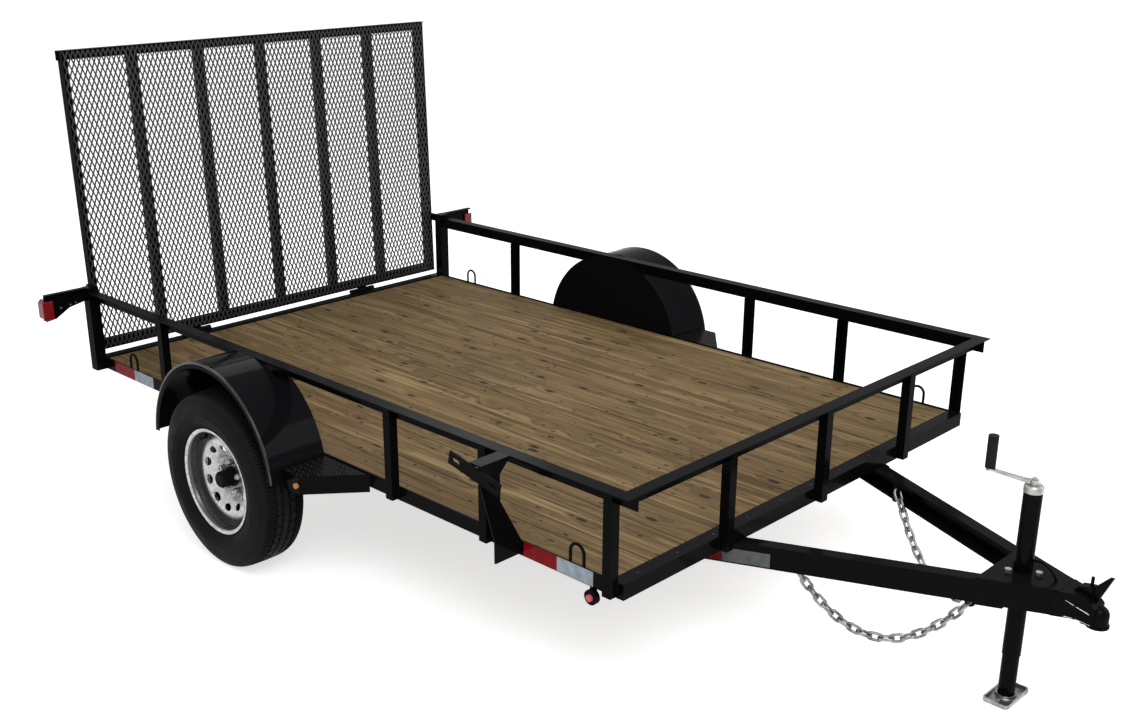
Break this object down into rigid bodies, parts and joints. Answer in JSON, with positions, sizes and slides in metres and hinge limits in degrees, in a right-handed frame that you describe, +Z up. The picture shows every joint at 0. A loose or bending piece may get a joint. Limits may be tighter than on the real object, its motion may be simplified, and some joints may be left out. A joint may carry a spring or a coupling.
{
  "type": "utility trailer",
  "caption": "Single-axle open utility trailer with railed plank bed, mesh loading gate, fenders and steps, A-frame tongue, ball coupler, safety chains and tongue jack.",
  "frame": {"origin": "centre of the bounding box in plan, on the floor the trailer is parked on", "axes": "+X forward to the coupler, +Y to the trailer's left side, +Z up"},
  "size_m": [4.068, 2.446, 1.7546],
  "materials": {
    "frame_steel": "gloss black paint",
    "rail_steel": "gloss black paint",
    "deck_wood": "treated pine, matt",
    "gate_steel": "gloss black paint",
    "mesh_steel": "gloss black paint",
    "zinc": "zinc plated",
    "tyre_rubber": "matt",
    "wheel_silver": "silver paint",
    "hub_black": "satin black",
    "grip_black": "matt black",
    "lamp_red": "gloss red lens",
    "lamp_amber": "gloss amber lens"
  },
  "bodies": {
    "chassis": {"bed_frame": "frame_steel", "deck_boards": "deck_wood", "side_posts_right": "rail_steel", "side_posts_left": "rail_steel", "front_posts": "rail_steel", "rear_posts": "rail_steel", "top_rail": "rail_steel", "tongue": "frame_steel", "tongue_under_plate": "frame_steel", "jack_plate": "frame_steel", "jack_bolts": "zinc", "jack_tube": "frame_steel", "jack_cap": "zinc", "jack_crank": "zinc", "jack_grip": "grip_black", "coupler": "frame_steel", "coupler_latch": "frame_steel", "safety_chain_right": "zinc", "safety_chain_left": "zinc", "chain_lugs": "frame_steel", "hook_rod": "frame_steel", "axle": "frame_steel", "spring_right": "frame_steel", "spring_left": "frame_steel", "spring_hangers": "frame_steel", "fender_right": "frame_steel", "fender_left": "frame_steel", "step_right": "frame_steel", "step_left": "frame_steel", "marker_tabs": "frame_steel", "marker_lamps": "lamp_amber", "spare_carrier": "frame_steel", "lamp_bracket_right": "frame_steel", "lamp_bracket_left": "frame_steel", "tail_lamp_right": "lamp_red", "tail_lamp_left": "lamp_red", "gate_hinges": "frame_steel", "gate_latches": "frame_steel", "tie_loops": "frame_steel"},
    "wheel_right": {"tyre_right": "tyre_rubber", "wheel_rim_right": "wheel_silver", "wheel_hub_right": "hub_black"},
    "wheel_left": {"tyre_left": "tyre_rubber", "wheel_rim_left": "wheel_silver", "wheel_hub_left": "hub_black"},
    "gate": {"gate_frame": "gate_steel", "gate_mesh": "mesh_steel"},
    "jack_leg": {"jack_leg": "frame_steel", "jack_foot": "zinc"}
  },
  "joints": [
    {"name": "wheel_right_turn", "type": "hinge", "parent": "chassis", "child": "wheel_right", "pos_m": [-0.70898, -1.123, 0.332], "axis": [0, 1, 0], "continuous": true},
    {"name": "wheel_left_turn", "type": "hinge", "parent": "chassis", "child": "wheel_left", "pos_m": [-0.70898, 1.123, 0.332], "axis": [0, 1, 0], "continuous": true},
    {"name": "gate_drop", "type": "hinge", "parent": "chassis", "child": "gate", "pos_m": [-1.96398, 0, 0.48], "axis": [0, -1, 0], "range_deg": [0, 108.5]},
    {"name": "jack_leg_slide", "type": "slide", "parent": "chassis", "child": "jack_leg", "axis": [0, 0, 1], "range_m": [0, 0.13]}
  ]
}
